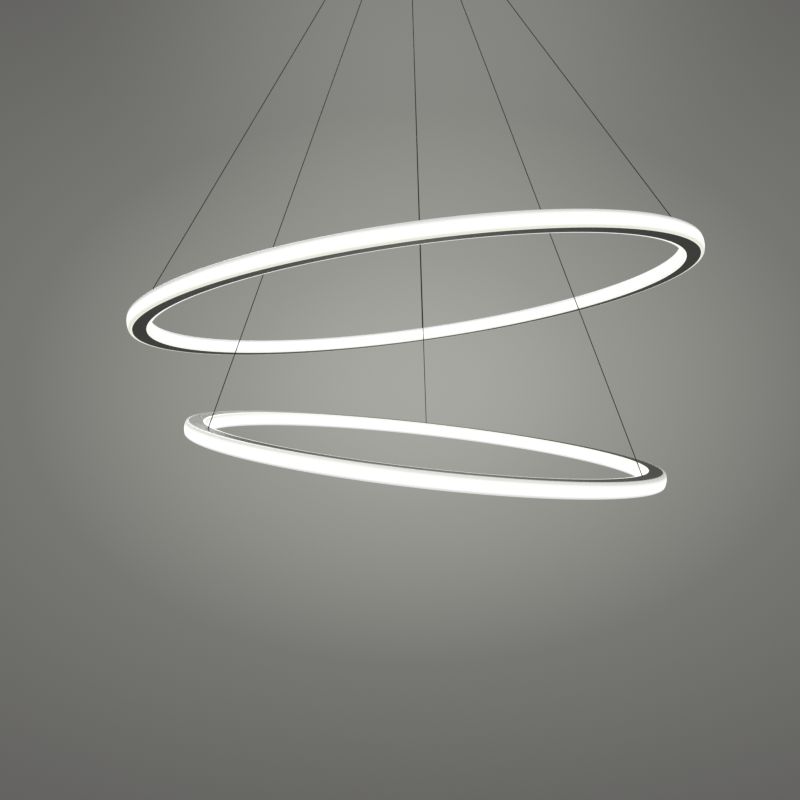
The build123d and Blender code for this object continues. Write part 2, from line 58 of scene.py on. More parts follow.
camera = bpy.data.objects.new("camera", bpy.data.cameras.new("camera"))
camera.data.lens = FOCAL_LENGTH
camera.data.clip_start = NEAR_CLIP
camera.matrix_world = (Matrix.Translation(CAMERA_PLACE)
                       @ Euler((radians(90 + CAMERA_PITCH), 0, 0)).to_matrix().to_4x4()
                       @ Matrix.Rotation(radians(CAMERA_ROLL), 4, "Z"))
bpy.context.scene.collection.objects.link(camera)
bpy.context.scene.camera = camera
bpy.context.scene.view_settings.view_transform = "Standard"


# ---------------------------------------------------------------- suspension wires
# Six stainless steel wire ropes, 1.2 mm thick, three for each ring. Each comes down through its
# gripper, bends once in the mouth of the gripper's nose and runs taut to a ball in the ring's upper
# flange, where it is crimped.

# How each ring hangs: its middle is "drop" below the ceiling and "side" to the right, its right and
# front sides are raised by "right_rise" and "front_rise" degrees, and its anchors are turned by
# "anchor_turn" degrees. Its grippers are "grip_radius" from the canopy's middle.
RING_HANGS = {
    "upper": {"outer_d": 0.8000, "drop": 0.5573, "side": -0.0035, "right_rise": 6.52, "front_rise": 4.09,
              "anchor_turn": -2.4, "grip_radius": 0.080},
    "lower": {"outer_d": 0.6720, "drop": 0.7720, "side": 0.0051, "right_rise": -7.45, "front_rise": -4.06,
              "anchor_turn": -1.25, "grip_radius": 0.047},
}
ANCHOR_ANGLES = {"back": 90.0, "front_left": 210.0, "front_right": 330.0}     # degrees
GRIPPER_TURN = -1.6          # degrees
SECTION_HALF = 0.0102        # half the height of the ring's section
SECTION_WIDTH = 0.0185
OUTER_BULGE = 0.0060
BALL_DEPTH = 0.0008          # from the upper flange's face down to the ball's centre
WIRE_D = 0.0012
WIRE_TOP = -0.030
WIRE_STUB = 0.0013           # how far the wire's end passes the ball's centre
MOUTH_TOP = -0.0626          # where the nose's bore opens into its mouth
BEND_R = 0.003
BEND_LEG = 4 * WIRE_D        # from the route's corner to its neighbouring points
BEND_STEPS = 8
WIRE_SIDES = 12
SHARP_EDGE = 40.0            # degrees between two faces from which their edge is sharp
ROPE_STRANDS = 6
ROPE_LAY = 0.009             # length in which a strand goes once round the rope


def ring_place(hang):
    """Where a ring hangs: turned about X by its front rise, then about Y by its right rise, then
    moved down by its drop and sideways."""
    return (Matrix.Translation((hang["side"], 0, -hang["drop"]))
            @ Matrix.Rotation(radians(-hang["right_rise"]), 4, "Y")
            @ Matrix.Rotation(radians(-hang["front_rise"]), 4, "X"))


def grid_mesh(name, points, along, across):
    """A skin over a grid of points: rows follow the piece's length and columns go round its section,
    closed from the last column to the first, with a flat face over each end. The UV map holds
    (across, along) for each corner, where across has one value more than there are columns."""
    rows, columns = points.shape[:2]
    r, c = np.meshgrid(np.arange(rows - 1), np.arange(columns), indexing="ij")
    after = (c + 1) % columns
    quads = np.stack([r * columns + c, r * columns + after,
                      (r + 1) * columns + after, (r + 1) * columns + c], axis=-1).reshape(-1, 4)
    quad_uv = np.stack([np.stack([across[c], along[r]], -1), np.stack([across[c + 1], along[r]], -1),
                        np.stack([across[c + 1], along[r + 1]], -1), np.stack([across[c], along[r + 1]], -1)],
                       axis=-2).reshape(-1, 2)
    first = np.arange(columns)[::-1]
    last = (rows - 1) * columns + np.arange(columns)
    end_uv = np.concatenate([np.stack([across[first], np.full(columns, along[0])], -1),
                             np.stack([across[:columns], np.full(columns, along[-1])], -1)])
    mesh = bpy.data.meshes.new(name)
    faces = quads.tolist() + [first.tolist(), last.tolist()]
    mesh.from_pydata(points.reshape(-1, 3).tolist(), [], faces)
    uv = mesh.uv_layers.new(name="section")
    uv.data.foreach_set("uv", np.concatenate([quad_uv, end_uv]).astype(np.float32).ravel())
    mesh.shade_smooth()
    mesh.set_sharp_from_angle(angle=radians(SHARP_EDGE))
    return mesh


def piece(name, mesh, material):
    """A shown object with its mesh in the frame's own coordinates."""
    made = bpy.data.objects.new(name, mesh)
    made.data.materials.append(material)
    bpy.context.scene.collection.objects.link(made)
    return made


def linear(hex_colour):
    """An sRGB hex colour as linear red, green, blue and alpha: each part c is (c + 0.055) / 1.055 to
    the power 2.4, or c / 12.92 when it is small."""
    parts = [int(hex_colour[i:i + 2], 16) / 255 for i in (1, 3, 5)]
    return [c / 12.92 if c <= 0.04045 else ((c + 0.055) / 1.055) ** 2.4 for c in parts] + [1.0]


def add(tree, kind, inputs, **settings):
    """One shader node with its settings. Each input is a number, a colour, or the output it is fed from."""
    made = tree.nodes.new(kind)
    for key, value in settings.items():
        setattr(made, key, value)
    for key, value in inputs.items():
        if isinstance(value, bpy.types.NodeSocket):
            tree.links.new(value, made.inputs[key])
        else:
            made.inputs[key].default_value = value
    return made


def blank_material(name):
    """A material with an empty node tree and its output node."""
    material = bpy.data.materials.new(name)
    material.use_nodes = True
    tree = material.node_tree
    tree.nodes.clear()
    return material, tree, tree.nodes.new("ShaderNodeOutputMaterial")


# Drawn stainless wire laid into a rope: dark grey with a soft shine, and slanting grooves between
# the strands, painted a little darker as shade besides their bump. Six strands stand for the real
# nineteen, which would be too fine to see.
rope_steel, tree, out = blank_material("stainless_wire_rope")
uv = add(tree, "ShaderNodeUVMap", {}, uv_map="section")
split = add(tree, "ShaderNodeSeparateXYZ", {"Vector": uv.outputs["UV"]})
lay = add(tree, "ShaderNodeMath", {0: split.outputs["Y"], 1: 1 / ROPE_LAY}, operation="MULTIPLY")
twist = add(tree, "ShaderNodeMath", {0: split.outputs["X"], 1: lay.outputs[0]}, operation="ADD")
turns = add(tree, "ShaderNodeMath", {0: twist.outputs[0], 1: ROPE_STRANDS * pi}, operation="MULTIPLY")
wave = add(tree, "ShaderNodeMath", {0: turns.outputs[0]}, operation="SINE")
strand = add(tree, "ShaderNodeMath", {0: wave.outputs[0]}, operation="ABSOLUTE")
# Painted shade: the grooves between the strands are coloured darker than the strands' crowns.
tone = add(tree, "ShaderNodeMix", {"Factor": strand.outputs[0], "A": linear("#2e2f2f"),
                                   "B": linear("#3c3d3d")}, data_type="RGBA")
groove = add(tree, "ShaderNodeBump", {"Height": strand.outputs[0], "Strength": 0.12, "Distance": 0.0001})
shader = add(tree, "ShaderNodeBsdfPrincipled", {"Base Color": tone.outputs["Result"], "Metallic": 0.7,
                                                "Roughness": 0.6, "Normal": groove.outputs["Normal"]})
tree.links.new(shader.outputs["BSDF"], out.inputs["Surface"])


def wire_route(hang, angle):
    """The points of a wire's route: its top, the corner in the nose's mouth with a point close by on
    each side, and its end in the ring's ball seat. The corner is BEND_R tan(slant / 2) below the
    mouth's top, as for an arc that starts there. Also the ball's centre."""
    grip_angle = radians(angle + GRIPPER_TURN)
    grip = Vector((hang["grip_radius"] * cos(grip_angle), hang["grip_radius"] * sin(grip_angle), 0))
    web_r = hang["outer_d"] / 2 - OUTER_BULGE - SECTION_WIDTH / 2
    turn = radians(angle + hang["anchor_turn"])
    ball = ring_place(hang) @ Vector((web_r * cos(turn), web_r * sin(turn), SECTION_HALF - BALL_DEPTH))
    slant = atan2(hypot(ball.x - grip.x, ball.y - grip.y), MOUTH_TOP - ball.z)
    corner = Vector((grip.x, grip.y, MOUTH_TOP - BEND_R * tan(slant / 2)))
    away = (ball - corner).normalized()
    top = Vector((grip.x, grip.y, WIRE_TOP))
    return [top, corner + Vector((0, 0, BEND_LEG)), corner, corner + away * BEND_LEG,
            ball + away * WIRE_STUB], ball


def smooth_line(points):
    """The points of a NURBS line of order 3 that has the route's points as its control points, without
    those that lie on a straight run."""
    curve = bpy.data.curves.new("wire_line", "CURVE")
    curve.dimensions = "3D"
    spline = curve.splines.new("NURBS")
    spline.points.add(len(points) - 1)
    for made, point in zip(spline.points, points):
        made.co = (*point, 1)
    spline.order_u = 3
    spline.use_endpoint_u = True
    spline.resolution_u = BEND_STEPS
    carrier = bpy.data.objects.new("wire_line", curve)
    line = bpy.data.meshes.new_from_object(carrier)
    co = np.zeros(len(line.vertices) * 3)
    line.vertices.foreach_get("co", co)
    co = co.reshape(-1, 3)
    steps = np.diff(co, axis=0)
    steps /= np.linalg.norm(steps, axis=1)[:, None]
    bends = np.linalg.norm(np.diff(steps, axis=0), axis=1) > 1e-4
    bpy.data.objects.remove(carrier)
    return co[np.concatenate([[True], bends, [True]])]


def rope_tube(name, line):
    """A round tube along a line: at each point a circle at right angles to the line's mean direction.
    Also the line's length."""
    steps = np.diff(line, axis=0)
    lengths = np.linalg.norm(steps, axis=1)
    ways = steps / lengths[:, None]
    ahead = np.concatenate([ways[:1], ways[:-1] + ways[1:], ways[-1:]])
    ahead /= np.linalg.norm(ahead, axis=1)[:, None]
    side = np.cross(ahead, ways[-1] * [1, 1, 0])
    side /= np.linalg.norm(side, axis=1)[:, None]
    front = np.cross(side, ahead)
    turn = np.linspace(0, 2 * pi, WIRE_SIDES, endpoint=False)
    round_ = np.cos(turn)[:, None] * side[:, None] + np.sin(turn)[:, None] * front[:, None]
    along = np.concatenate([[0], np.cumsum(lengths)])
    skin = grid_mesh(name, line[:, None] + WIRE_D / 2 * round_, along, np.linspace(0, 1, WIRE_SIDES + 1))
    return skin, along[-1]


for which, hang in RING_HANGS.items():
    for where, angle in ANCHOR_ANGLES.items():
        name = f"{which}_wire_{where}"
        route, ball = wire_route(hang, angle)
        line = smooth_line(route)
        mesh, length = rope_tube(name + "_rope", line)
        rope = piece(name + "_rope", mesh, rope_steel)
        if where == "front_right":
            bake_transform(rope)
        else:
            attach(rope, "canopy")
        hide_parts(name)


# ---------------------------------------------------------------- ball ends and grippers
# The wires' ends are crimped steel balls. Each wire is held by a turned and nickel-plated gripper
# under the canopy: barrel, lock nut, release nose and wedge balls.

TURNING_MARKS = (40, 40, 6000)         # few across the piece and many along its axis


def dress(material, *names):
    """Gives CAD nodes their material in place of the one they came with."""
    for name in names:
        nodes[name].data.materials.clear()
        nodes[name].data.materials.append(material)


# Satin nickel plating on turned brass: warm light grey, with fine turning marks round its axis.
nickel, tree, out = blank_material("satin_nickel_plating")
place = add(tree, "ShaderNodeTexCoord", {})
marks = add(tree, "ShaderNodeMapping", {"Vector": place.outputs["Object"], "Scale": TURNING_MARKS})
noise = add(tree, "ShaderNodeTexNoise", {"Vector": marks.outputs["Vector"], "Scale": 1.0, "Detail": 3.0})
sheen = add(tree, "ShaderNodeMapRange", {"Value": noise.outputs["Fac"], "From Min": 0.3, "From Max": 0.7,
                                         "To Min": 0.22, "To Max": 0.36})
bump = add(tree, "ShaderNodeBump", {"Height": noise.outputs["Fac"], "Strength": 0.08, "Distance": 0.0001})
shader = add(tree, "ShaderNodeBsdfPrincipled", {"Base Color": linear("#b9b6ae"), "Metallic": 1.0,
                                                "Roughness": sheen.outputs["Result"],
                                                "Normal": bump.outputs["Normal"]})
tree.links.new(shader.outputs["BSDF"], out.inputs["Surface"])

# Hardened bearing steel, tumbled and not polished to a mirror: grey and smooth.
ball_steel, tree, out = blank_material("tumbled_bearing_steel")
place = add(tree, "ShaderNodeTexCoord", {})
noise = add(tree, "ShaderNodeTexNoise", {"Vector": place.outputs["Object"], "Scale": 1500.0})
smear = add(tree, "ShaderNodeMapRange", {"Value": noise.outputs["Fac"], "To Min": 0.32, "To Max": 0.42})
shader = add(tree, "ShaderNodeBsdfPrincipled", {"Base Color": linear("#77797a"), "Metallic": 1.0,
                                                "Roughness": smear.outputs["Result"]})
tree.links.new(shader.outputs["BSDF"], out.inputs["Surface"])

dress(nickel, "gripper_nuts", "canopy_side_screws")
for which in RING_HANGS:
    dress(nickel, f"{which}_gripper_barrels")
    dress(ball_steel, f"{which}_ball_end_front_right", f"{which}_ball_ends_fixed")
    for where in ANCHOR_ANGLES:
        dress(nickel, f"{which}_gripper_nose_{where}")
        dress(ball_steel, f"{which}_gripper_balls_{where}")


# ---------------------------------------------------------------- gripper springs
# A small coil of drawn steel wire in each barrel, five turns. Its upper end sits at the top of the
# barrel's chamber, and its lower end on the release nose.

SPRING_TOP = -0.0480
SPRING_BOTTOM = -0.0528
SPRING_MEAN_D = 0.0044
SPRING_WIRE_D = 0.0005
SPRING_PLAY = 0.00005        # between the coil's ends and what they press on
SPRING_TURNS = 5
SPRING_STEPS = 160
SPRING_SIDES = 10


def coil_skin(name, middle):
    """A round wire along a helix: at turn t the wire's centre is (R cos t, R sin t, rising evenly).
    Its circle lies in the plane of the outward direction and the direction at right angles to that
    and to the wire."""
    low = SPRING_BOTTOM + SPRING_WIRE_D / 2 + SPRING_PLAY
    high = SPRING_TOP - SPRING_WIRE_D / 2 - SPRING_PLAY
    turn = np.linspace(0, 2 * pi * SPRING_TURNS, SPRING_STEPS + 1)
    climb = (high - low) / turn[-1]
    radius = SPRING_MEAN_D / 2
    outward = np.stack([np.cos(turn), np.sin(turn), np.zeros_like(turn)], -1)
    ahead = np.stack([-radius * np.sin(turn), radius * np.cos(turn), np.full_like(turn, climb)], -1)
    ahead /= np.linalg.norm(ahead, axis=1)[:, None]
    upward = np.cross(outward, ahead)
    centre = np.array([middle.x, middle.y, low]) + radius * outward + climb * turn[:, None] * [0, 0, 1]
    round_ = np.linspace(0, 2 * pi, SPRING_SIDES, endpoint=False)
    points = centre[:, None] + SPRING_WIRE_D / 2 * (np.cos(round_)[:, None] * outward[:, None]
                                                    + np.sin(round_)[:, None] * upward[:, None])
    return grid_mesh(name, points, turn * hypot(radius, climb), np.linspace(0, 1, SPRING_SIDES + 1))


# Cold-drawn spring wire: grey, with draw marks along it.
spring_wire, tree, out = blank_material("drawn_spring_steel")
place = add(tree, "ShaderNodeTexCoord", {})
noise = add(tree, "ShaderNodeTexNoise", {"Vector": place.outputs["Object"], "Scale": 2500.0,
                                         "Detail": 2.0})
drawn = add(tree, "ShaderNodeMix", {"Factor": noise.outputs["Fac"], "A": linear("#7d7e7f"),
                                    "B": linear("#a9aaab")}, data_type="RGBA")
shader = add(tree, "ShaderNodeBsdfPrincipled", {"Base Color": drawn.outputs["Result"], "Metallic": 1.0,
                                                "Roughness": 0.3})
tree.links.new(shader.outputs["BSDF"], out.inputs["Surface"])

for which, hang in RING_HANGS.items():
    for where, angle in ANCHOR_ANGLES.items():
        middle = wire_route(hang, angle)[0][0]
        coil = piece(f"{which}_{where}_coil", coil_skin(f"{which}_{where}_coil", middle), spring_wire)
        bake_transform(coil)
        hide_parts(f"{which}_gripper_spring_{where}")


# ---------------------------------------------------------------- canopy cup
# A cup drawn from 1.2 mm sheet steel, 220 mm across, powder coated in the grey of the rings. Three
# screws in its side hold it to the plate on the ceiling.

# Satin powder coat: an even grey skin with a fine orange-peel surface, its bumps about 0.8 mm apart.
coat, tree, out = blank_material("satin_powder_coat")
place = add(tree, "ShaderNodeTexCoord", {})
peel = add(tree, "ShaderNodeTexNoise", {"Vector": place.outputs["Object"], "Scale": 1200.0, "Detail": 2.0})
cloud = add(tree, "ShaderNodeTexNoise", {"Vector": place.outputs["Object"], "Scale": 18.0, "Detail": 3.0})
tone = add(tree, "ShaderNodeMix", {"Factor": cloud.outputs["Fac"], "A": linear("#5b5c5c"),
                                   "B": linear("#666767")}, data_type="RGBA")
gloss = add(tree, "ShaderNodeMapRange", {"Value": peel.outputs["Fac"], "To Min": 0.38, "To Max": 0.5})
bump = add(tree, "ShaderNodeBump", {"Height": peel.outputs["Fac"], "Strength": 0.12, "Distance": 0.0002})
shader = add(tree, "ShaderNodeBsdfPrincipled", {"Base Color": tone.outputs["Result"], "IOR": 1.5,
                                                "Roughness": gloss.outputs["Result"],
                                                "Normal": bump.outputs["Normal"]})
tree.links.new(shader.outputs["BSDF"], out.inputs["Surface"])
dress(coat, "canopy_cup")


# ---------------------------------------------------------------- ceiling plate and what it carries
# A zinc-plated steel disc with three tabs turned down, and on it the cable grommet, two drivers, the
# terminal block, the earth screw and their small screws.

# Bright zinc plating: bluish grey with soft cloudy patches some millimetres wide.
zinc, tree, out = blank_material("bright_zinc_plating")
place = add(tree, "ShaderNodeTexCoord", {})
patches = add(tree, "ShaderNodeTexVoronoi", {"Vector": place.outputs["Object"], "Scale": 140.0},
              feature="SMOOTH_F1")
fine = add(tree, "ShaderNodeTexNoise", {"Vector": place.outputs["Object"], "Scale": 900.0, "Detail": 3.0})
tone = add(tree, "ShaderNodeMix", {"Factor": patches.outputs["Distance"], "A": linear("#9da1a4"),
                                   "B": linear("#b9bbbb")}, data_type="RGBA")
gloss = add(tree, "ShaderNodeMapRange", {"Value": fine.outputs["Fac"], "To Min": 0.34, "To Max": 0.5})
shader = add(tree, "ShaderNodeBsdfPrincipled", {"Base Color": tone.outputs["Result"], "Metallic": 1.0,
                                                "Roughness": gloss.outputs["Result"]})
tree.links.new(shader.outputs["BSDF"], out.inputs["Surface"])
dress(zinc, "ceiling_plate", "driver_and_terminal_screws")

# Black EPDM rubber: dull, with a faint bloom.
rubber, tree, out = blank_material("black_epdm_rubber")
place = add(tree, "ShaderNodeTexCoord", {})
bloom = add(tree, "ShaderNodeTexNoise", {"Vector": place.outputs["Object"], "Scale": 300.0, "Detail": 4.0})
tone = add(tree, "ShaderNodeMix", {"Factor": bloom.outputs["Fac"], "A": linear("#161616"),
                                   "B": linear("#2a2a29")}, data_type="RGBA")
shader = add(tree, "ShaderNodeBsdfPrincipled", {"Base Color": tone.outputs["Result"], "IOR": 1.52,
                                                "Roughness": 0.72})
tree.links.new(shader.outputs["BSDF"], out.inputs["Surface"])
dress(rubber, "cable_grommet")

# Moulded polycarbonate of the drivers: light grey, spark-eroded texture with grains of about 0.3 mm.
case_plastic, tree, out = blank_material("moulded_grey_polycarbonate")
place = add(tree, "ShaderNodeTexCoord", {})
grain = add(tree, "ShaderNodeTexNoise", {"Vector": place.outputs["Object"], "Scale": 3000.0,
                                         "Detail": 1.0})
tone = add(tree, "ShaderNodeMix", {"Factor": grain.outputs["Fac"], "A": linear("#cfd0ce"),
                                   "B": linear("#dcdcda")}, data_type="RGBA")
bump = add(tree, "ShaderNodeBump", {"Height": grain.outputs["Fac"], "Strength": 0.2, "Distance": 0.0001})
shader = add(tree, "ShaderNodeBsdfPrincipled", {"Base Color": tone.outputs["Result"], "IOR": 1.58,
                                                "Roughness": 0.5, "Normal": bump.outputs["Normal"]})
tree.links.new(shader.outputs["BSDF"], out.inputs["Surface"])
dress(case_plastic, "upper_ring_driver", "lower_ring_driver")

# Natural polyamide of the terminal block: milky, slightly warm, smooth from the mould.
polyamide, tree, out = blank_material("natural_polyamide")
place = add(tree, "ShaderNodeTexCoord", {})
flow = add(tree, "ShaderNodeTexNoise", {"Vector": place.outputs["Object"], "Scale": 120.0, "Detail": 2.0})
tone = add(tree, "ShaderNodeMix", {"Factor": flow.outputs["Fac"], "A": linear("#dedacb"),
                                   "B": linear("#eae7db")}, data_type="RGBA")
shader = add(tree, "ShaderNodeBsdfPrincipled", {"Base Color": tone.outputs["Result"], "IOR": 1.53,
                                                "Roughness": 0.32})
tree.links.new(shader.outputs["BSDF"], out.inputs["Surface"])
dress(polyamide, "terminal_block")

# Turned brass of the earth screw: yellow, lightly tarnished in patches.
brass, tree, out = blank_material("turned_brass")
place = add(tree, "ShaderNodeTexCoord", {})
tarnish = add(tree, "ShaderNodeTexNoise", {"Vector": place.outputs["Object"], "Scale": 260.0,
                                           "Detail": 4.0})
tone = add(tree, "ShaderNodeMix", {"Factor": tarnish.outputs["Fac"], "A": linear("#a98a45"),
                                   "B": linear("#cbb069")}, data_type="RGBA")
shader = add(tree, "ShaderNodeBsdfPrincipled", {"Base Color": tone.outputs["Result"], "Metallic": 1.0,
                                                "Roughness": 0.34})
tree.links.new(shader.outputs["BSDF"], out.inputs["Surface"])
dress(brass, "earth_screw")


# ---------------------------------------------------------------- ring profiles
# Each ring's body is an extruded aluminium I section, rolled to a circle and anodised dark grey. Its
# two flanges show as the band between the diffusers, above and below.

EXTRUSION_LINES = 1400.0     # for each metre across the flange


def ring_coordinates(tree, hang):
    """The point in a ring's own frame, which is the Object point moved and turned back from where the
    ring hangs, and its distance from the ring's axis in metres."""
    place = add(tree, "ShaderNodeTexCoord", {})
    back = ring_place(hang).inverted()
    own = add(tree, "ShaderNodeMapping", {"Vector": place.outputs["Object"],
                                          "Location": back.to_translation(), "Rotation": back.to_euler()})
    flat = add(tree, "ShaderNodeVectorMath", {0: own.outputs["Vector"], 1: (1, 1, 0)}, operation="MULTIPLY")
    away = add(tree, "ShaderNodeVectorMath", {0: flat.outputs["Vector"]}, operation="LENGTH")
    return own.outputs["Vector"], away.outputs["Value"]


# Satin anodised aluminium, dark grey: a metal with fine extrusion lines that run round the ring,
# about 0.7 mm apart here, coarser than the real ones so that they show. They draw its shine out.
for which, hang in RING_HANGS.items():
    anodised, tree, out = blank_material(f"grey_anodised_aluminium_{which}")
    own, radius = ring_coordinates(tree, hang)
    lines = add(tree, "ShaderNodeMath", {0: radius, 1: EXTRUSION_LINES}, operation="MULTIPLY")
    drawn = add(tree, "ShaderNodeTexNoise", {"W": lines.outputs[0], "Scale": 1.0, "Detail": 3.0},
                noise_dimensions="1D")
    cloud = add(tree, "ShaderNodeTexNoise", {"Vector": own, "Scale": 30.0, "Detail": 3.0})
    mixed = add(tree, "ShaderNodeMath", {0: drawn.outputs["Fac"], 1: cloud.outputs["Fac"]},
                operation="MULTIPLY")
    tone = add(tree, "ShaderNodeMix", {"Factor": mixed.outputs[0], "A": linear("#585958"),
                                       "B": linear("#72736f")}, data_type="RGBA")
    gloss = add(tree, "ShaderNodeMapRange", {"Value": drawn.outputs["Fac"], "To Min": 0.27, "To Max": 0.36})
    bump = add(tree, "ShaderNodeBump", {"Height": drawn.outputs["Fac"], "Strength": 0.04,
                                        "Distance": 0.0001})
    round_ = add(tree, "ShaderNodeTangent", {}, direction_type="RADIAL", axis="Z")
    shader = add(tree, "ShaderNodeBsdfPrincipled", {"Base Color": tone.outputs["Result"], "Metallic": 0.9,
                                                    "Roughness": gloss.outputs["Result"],
                                                    "Anisotropic": 0.8, "Tangent": round_.outputs["Tangent"],
                                                    "Normal": bump.outputs["Normal"]})
    tree.links.new(shader.outputs["BSDF"], out.inputs["Surface"])
    dress(anodised, f"{which}_ring_profile")

# Plain extruded aluminium of the joining strips, which lie hidden beside the web.
mill, tree, out = blank_material("mill_finish_aluminium")
place = add(tree, "ShaderNodeTexCoord", {})
drawn = add(tree, "ShaderNodeTexNoise", {"Vector": place.outputs["Object"], "Scale": 700.0, "Detail": 3.0})
gloss = add(tree, "ShaderNodeMapRange", {"Value": drawn.outputs["Fac"], "To Min": 0.3, "To Max": 0.5})
shader = add(tree, "ShaderNodeBsdfPrincipled", {"Base Color": linear("#c3c4c6"), "Metallic": 1.0,
                                                "Roughness": gloss.outputs["Result"]})
tree.links.new(shader.outputs["BSDF"], out.inputs["Surface"])
dress(mill, "upper_ring_joiners", "lower_ring_joiners")

# Glass-filled nylon of the anchor bushings: near black, dull, with a fine mottle.
nylon, tree, out = blank_material("glass_filled_nylon")
place = add(tree, "ShaderNodeTexCoord", {})
mottle = add(tree, "ShaderNodeTexNoise", {"Vector": place.outputs["Object"], "Scale": 2000.0,
                                          "Detail": 2.0})
tone = add(tree, "ShaderNodeMix", {"Factor": mottle.outputs["Fac"], "A": linear("#2b2b2c"),
                                   "B": linear("#3c3c3d")}, data_type="RGBA")
shader = add(tree, "ShaderNodeBsdfPrincipled", {"Base Color": tone.outputs["Result"], "IOR": 1.53,
                                                "Roughness": 0.5})
tree.links.new(shader.outputs["BSDF"], out.inputs["Surface"])
dress(nylon, "upper_ring_anchor_bushings", "lower_ring_anchor_bushings")


# ---------------------------------------------------------------- light strips
# White flexible circuits glued to both sides of the web, with one unbroken line of yellow phosphor.
# They lie behind the diffusers.

PHOSPHOR_HALF = 0.0015       # half the phosphor line's height
PHOSPHOR_EDGE = 0.00015

# White solder mask on a flexible circuit, matt, with a warm glowing line of silicone and phosphor.
# The mask itself also glows a mid grey: painted light for the strips' own light falling back on it.
for which, hang in RING_HANGS.items():
    circuit, tree, out = blank_material(f"light_strip_circuit_{which}")
    own, radius = ring_coordinates(tree, hang)
    height = add(tree, "ShaderNodeSeparateXYZ", {"Vector": own})
    off = add(tree, "ShaderNodeMath", {0: height.outputs["Z"]}, operation="ABSOLUTE")
    lit = add(tree, "ShaderNodeMapRange", {"Value": off.outputs[0],
                                           "From Min": PHOSPHOR_HALF - PHOSPHOR_EDGE,
                                           "From Max": PHOSPHOR_HALF + PHOSPHOR_EDGE,
                                           "To Min": 1.0, "To Max": 0.0}, interpolation_type="SMOOTHSTEP")
    tone = add(tree, "ShaderNodeMix", {"Factor": lit.outputs["Result"], "A": linear("#efefec"),
                                       "B": linear("#f2dc86")}, data_type="RGBA")
    glow = add(tree, "ShaderNodeMix", {"Factor": lit.outputs["Result"], "A": linear("#8a8a86"),
                                       "B": linear("#fff3cf")}, data_type="RGBA")
    shader = add(tree, "ShaderNodeBsdfPrincipled", {"Base Color": tone.outputs["Result"], "IOR": 1.5,
                                                    "Roughness": 0.45,
                                                    "Emission Color": glow.outputs["Result"],
                                                    "Emission Strength": 1.0})
    tree.links.new(shader.outputs["BSDF"], out.inputs["Surface"])
    dress(circuit, f"{which}_ring_outer_light_strip", f"{which}_ring_inner_light_strip")


# ---------------------------------------------------------------- diffusers
# Opal polycarbonate shells, one that bulges outwards and one that bulges inwards on each ring. They
# are extruded, bent to the ring, and slid with two thin feet behind the flanges.

INNER_BULGE = 0.0075
CORNER_R = {"outer": 0.0040, "inner": 0.0055}
CROWN_R = 0.026
FLANGE = 0.0016              # thickness of the profile's flange
FOOT = 0.0012                # thickness of a foot
FOOT_REACH = 0.003           # how far a foot goes in behind the flange
FOOT_PLAY = 0.00015
WALL = 0.0016
SEAM_ANGLE = 150.0           # degrees
SEAM_HALF = 0.0001
DIE_LINES = 60.0             # over the visible outside
RING_STEPS = 420
CROWN_STEPS = 18
CORNER_STEPS = 10


def diffuser_outline(bulge, corner_r):
    """The section's outline, x outwards from the flange's edge and z up. From the lower flange: a
    corner arc, a flat crown arc and a corner arc, each touching the next; then round the upper foot,
    the hollow inside and the lower foot. Also, for each point, how far it is along the visible
    outside, from 0 at the lower flange to 1 at the upper one."""
    rise = SECTION_HALF - corner_r
    crown_x = bulge - CROWN_R
    corner_x = crown_x + sqrt((CROWN_R - corner_r) ** 2 - rise ** 2)
    lean = atan2(rise, corner_x - crown_x)
    corner = np.linspace(lean, pi / 2, CORNER_STEPS + 1)
    crown = np.linspace(-lean, lean, CROWN_STEPS + 1)[1:-1]
    upper = np.stack([corner_x + corner_r * np.cos(corner), rise + corner_r * np.sin(corner)], -1)
    middle = np.stack([crown_x + CROWN_R * np.cos(crown), CROWN_R * np.sin(crown)], -1)
    outside = np.concatenate([[[FOOT_PLAY, -SECTION_HALF]], upper[::-1] * [1, -1], middle, upper,
                              [[FOOT_PLAY, SECTION_HALF]]])
    foot_high = SECTION_HALF - FLANGE - FOOT_PLAY
    foot_low = foot_high - FOOT
    hollow_x = upper[0, 0] - WALL
    half = np.array([[FOOT_PLAY, foot_high], [-FOOT_REACH, foot_high], [-FOOT_REACH, foot_low],
                     [hollow_x, foot_low]])
    inside = np.concatenate([half, half[::-1] * [1, -1]])
    run = np.concatenate([[0], np.cumsum(np.linalg.norm(np.diff(outside, axis=0), axis=1))])
    share = np.concatenate([run / run[-1], np.ones(len(half)), np.zeros(len(half) + 1)])
    return np.concatenate([outside, inside]), share


def diffuser_skin(name, hang, r_edge, side, bulge, corner_r):
    """The outline carried once round the ring, from one side of the seam to the other: the point at
    angle a is (r cos a, r sin a, z) with r = edge + side * x, put where the ring hangs."""
    outline, share = diffuser_outline(bulge, corner_r)
    gap = SEAM_HALF / r_edge
    turn = radians(SEAM_ANGLE) + np.linspace(gap, 2 * pi - gap, RING_STEPS + 1)
    r = r_edge + side * outline[:, 0]
    x = np.cos(turn)[:, None] * r
    y = np.sin(turn)[:, None] * r
    z = np.broadcast_to(outline[:, 1], x.shape)
    if side > 0:
        x, y, z, share = x[:, ::-1], y[:, ::-1], z[:, ::-1], share[::-1]
    place = np.array(ring_place(hang))
    points = np.stack([x, y, z], -1) @ place[:3, :3].T + place[:3, 3]
    return grid_mesh(name, points, turn * r_edge, share)
